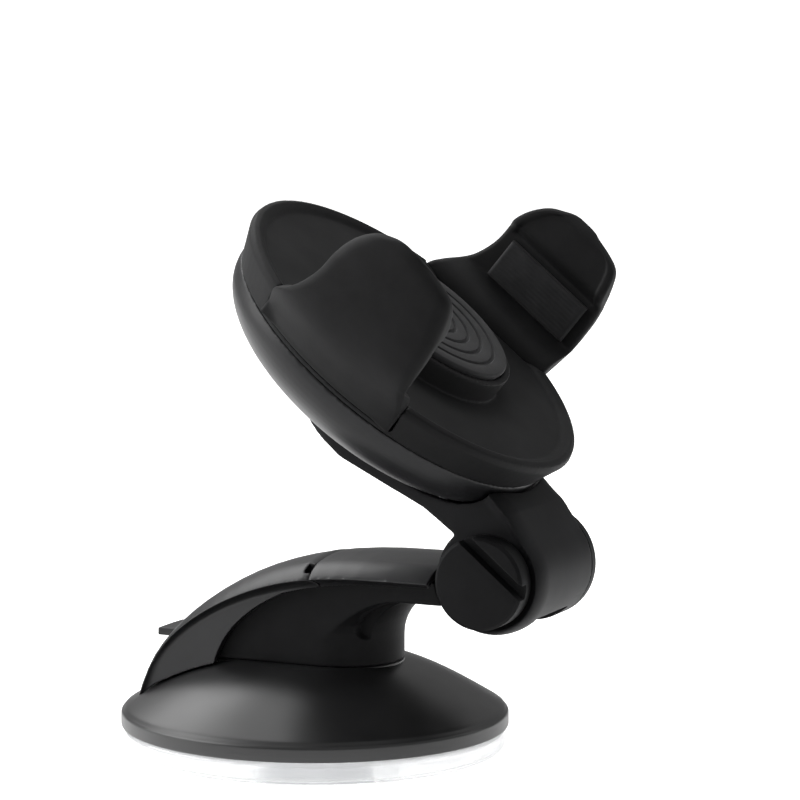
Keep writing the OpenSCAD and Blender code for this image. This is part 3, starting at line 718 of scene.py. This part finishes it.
def rack_bar(side):
    """The toothed bar that runs in from the jaw to the pinion."""
    pitch = math.pi * MODULE
    half, slope = pitch / 4 - 0.12, math.tan(math.radians(20))
    root, tip, back = 8.7, 6.2, 13.7
    from_u, to_u = -16.0, 29.4
    teeth = []
    for k in range(-4, 4):
        c = (k + 0.5) * pitch
        teeth += [(c - half - 1.5 * slope, root), (c - half + slope, tip),
                  (c + half - slope, tip), (c + half + 1.5 * slope, root)]
    outline = [(from_u, back), (from_u, root)] + teeth + [(to_u, root), (to_u, back)]
    low, high = ([(side * u, -side * v, m) for u, v in outline] for m in (ROOT, ROOT + RACK_THICK))
    n = len(outline)
    ends = [tuple(range(n)), tuple(range(2 * n - 1, n - 1, -1))]
    walls = [(i, i + n, (i + 1) % n + n, (i + 1) % n) for i in range(n)]
    bar = new_object("rack", low + high, ends + walls, CRADLE)
    tidy_normals(bar, 30)
    return bar


def make_grip(side, body, node):
    """A jaw's rubber pad: rounded corners and fine ribs along the phone."""
    half_w, tall, thick = 8.9, 7.6, 1.2
    rib_deep, rib_pitch = 0.05, 0.76
    cols, rows = 48, 60
    verts, faces = [], []
    for i in range(cols + 1):
        v = -half_w + 2 * half_w * i / cols
        for j in range(rows + 1):
            m = tall * j / rows
            near = min(half_w - abs(v), m, tall - m)
            edge = 0.35 * (1 - smooth_step(0, 0.5, near)) ** 2
            wave = 0.5 + 0.5 * math.cos(2 * math.pi * m / rib_pitch)
            rib = rib_deep * wave * smooth_step(0.5, 1.1, near)
            verts.append((side * (GRIP + edge + rib), JAW_MID + v, m))
    n = len(verts)
    verts += [(side * (GRIP + thick + 0.25), v[1], v[2]) for v in verts]
    for i in range(cols):
        for j in range(rows):
            a, b = i * (rows + 1) + j, (i + 1) * (rows + 1) + j
            faces += [(a, b, b + 1, a + 1), (a + n, a + 1 + n, b + 1 + n, b + n)]
    rim = [i * (rows + 1) for i in range(cols + 1)] \
        + [cols * (rows + 1) + j for j in range(1, rows + 1)] \
        + [i * (rows + 1) + rows for i in range(cols - 1, -1, -1)] \
        + list(range(rows - 1, 0, -1))
    faces += [(a, b, b + n, a + n) for a, b in zip(rim, rim[1:] + rim[:1])]
    pad = new_object("grip_" + SIDE_NAME[side], verts, faces, CRADLE)
    tidy_normals(pad, 50)
    stands_for(pad, body, PAD_RUBBER, "pad_rubber", node)


make_jaw(1, "jaw_right", "jaw_right")
make_jaw(-1, "jaw_left", "jaw_left")
make_grip(1, "jaw_right", "jaw_pad_right")
make_grip(-1, "jaw_left", "jaw_pad_left")

# ------------------------------------------------------------------ CAD parts that show as they are
for group, mat in (
    (("base_screws", "lever_pin", "lift_stud", "stud_cross_pin", "pivot_nut", "swivel_washer", "swivel_screw",
      "pivot_bolt", "cradle_screws", "pinion_axle"), STEEL),
    (("stud_spring", "pinion_spring"), WIRE),
    (("pinion",), ACETAL),
    (("guide_plate", "friction_washers"), PLATE_BLACK),
):
    for node in group:
        dress(frame["nodes"][node], mat)

# ------------------------------------------------------------------ stage, light and camera
GROUND_Z = -0.0002
FLOOR_R = 90
WALL_R, WALL_H = 4.5, 6


def staged(name, verts, faces, look, glow):
    """A glowing piece of the set, in metres, which lights nothing by diffuse reflection."""
    mesh = bpy.data.meshes.new(name)
    mesh.from_pydata(verts, [], faces)
    obj = bpy.data.objects.new(name, mesh)
    SCENE.collection.objects.link(obj)
    look.set(Emission_Color=WHITE, Emission_Strength=glow)
    dress(obj, look.mat)
    obj.visible_diffuse = False
    return obj


def make_floor():
    """The pale ground, which the object's glossy faces mirror."""
    look = Look("pale floor")
    patches = look.remap(look.noise(6, 3), 0.3, 0.7, 0, 1)
    look.link(look.mix(patches, (0.9, 0.9, 0.9), (0.93, 0.93, 0.93)), look.shader.inputs["Base Color"])
    look.set(Roughness=0.55, Specular_IOR_Level=0.2)
    staged("floor", circle(FLOOR_R, GROUND_Z, 96), [tuple(range(96))], look, 0.72)


def make_backdrop():
    """A white wall round the object, which closes the picture above the horizon and doesn't light it."""
    n = 64
    look = Look("white backdrop")
    look.set(Roughness=0.9, Specular_IOR_Level=0.0)
    verts = circle(WALL_R, GROUND_Z, n) + circle(WALL_R, WALL_H, n)
    faces = [(i, (i + 1) % n, n + (i + 1) % n, n + i) for i in range(n)]
    wall = staged("backdrop", verts, faces, look, 1.0)
    wall.visible_glossy = False
    wall.visible_shadow = False


def area(name, where, target, size, watts):
    """A rectangular light that faces its target."""
    light = bpy.data.lights.new(name, "AREA")
    light.shape = "RECTANGLE"
    light.size, light.size_y = size
    light.energy = watts
    obj = bpy.data.objects.new(name, light)
    SCENE.collection.objects.link(obj)
    obj.location = where
    obj.rotation_euler = (Vector(target) - Vector(where)).to_track_quat("-Z", "Y").to_euler()


# The photograph's camera: where it stands, its direction and roll in degrees, and its lens.
CAMERA_AT = Vector((-0.530185, -0.253601, 0.127017))
CAMERA_TURN = (-65.818, 6.625, 0.217)
CAMERA_LENS = 158.66


def make_camera():
    data = bpy.data.cameras.new("camera")
    data.sensor_width = 36
    data.lens = CAMERA_LENS
    data.clip_start, data.clip_end = 0.01, 300
    cam = bpy.data.objects.new("camera", data)
    SCENE.collection.objects.link(cam)
    az, el, roll = (math.radians(a) for a in CAMERA_TURN)
    back = Vector((math.sin(az) * math.cos(el), -math.cos(az) * math.cos(el), math.sin(el)))
    right = Vector((math.cos(az), math.sin(az), 0))
    up = back.cross(right)
    rolled_right = right * math.cos(roll) + up * math.sin(roll)
    rolled_up = up * math.cos(roll) - right * math.sin(roll)
    cam.matrix_world = axes(CAMERA_AT, rolled_right, rolled_up, back)
    SCENE.camera = cam
    return right, back


make_floor()
make_backdrop()
RIGHT, BACK = make_camera()
MIDDLE = Vector((0, 0, 0.045))


def from_camera(side, height, toward):
    """A point given by how far it stands to the camera's right, above the floor and towards the camera."""
    flat = Vector((BACK.x, BACK.y, 0)).normalized()
    return MIDDLE + RIGHT * side + Vector((0, 0, height)) + flat * toward


area("key", from_camera(-0.85, 0.5, 0.0), MIDDLE, (0.9, 0.8), 9)
area("top", from_camera(0.05, 0.9, -0.25), MIDDLE, (0.5, 0.5), 2.5)
area("right", from_camera(0.8, 0.3, -0.3), MIDDLE, (0.2, 0.6), 0.25)
area("rear", from_camera(-0.4, 0.7, -0.7), MIDDLE, (0.6, 0.5), 3)


def make_world():
    """A soft studio dome: pale above, dim below."""
    world = bpy.data.worlds.new("studio")
    world.use_nodes = True
    tree = world.node_tree
    place = tree.nodes.new("ShaderNodeTexCoord")
    parts = tree.nodes.new("ShaderNodeSeparateXYZ")
    grade = tree.nodes.new("ShaderNodeMapRange")
    for k, v in (("From Min", -0.15), ("From Max", 0.7), ("To Min", 0.10), ("To Max", 0.5)):
        grade.inputs[k].default_value = v
    tree.links.new(place.outputs["Generated"], parts.inputs[0])
    tree.links.new(parts.outputs["Z"], grade.inputs["Value"])
    tree.links.new(grade.outputs["Result"], tree.nodes["Background"].inputs["Strength"])
    tree.nodes["Background"].inputs["Color"].default_value = WHITE
    SCENE.world = world


make_world()
SCENE.view_settings.view_transform = "Standard"
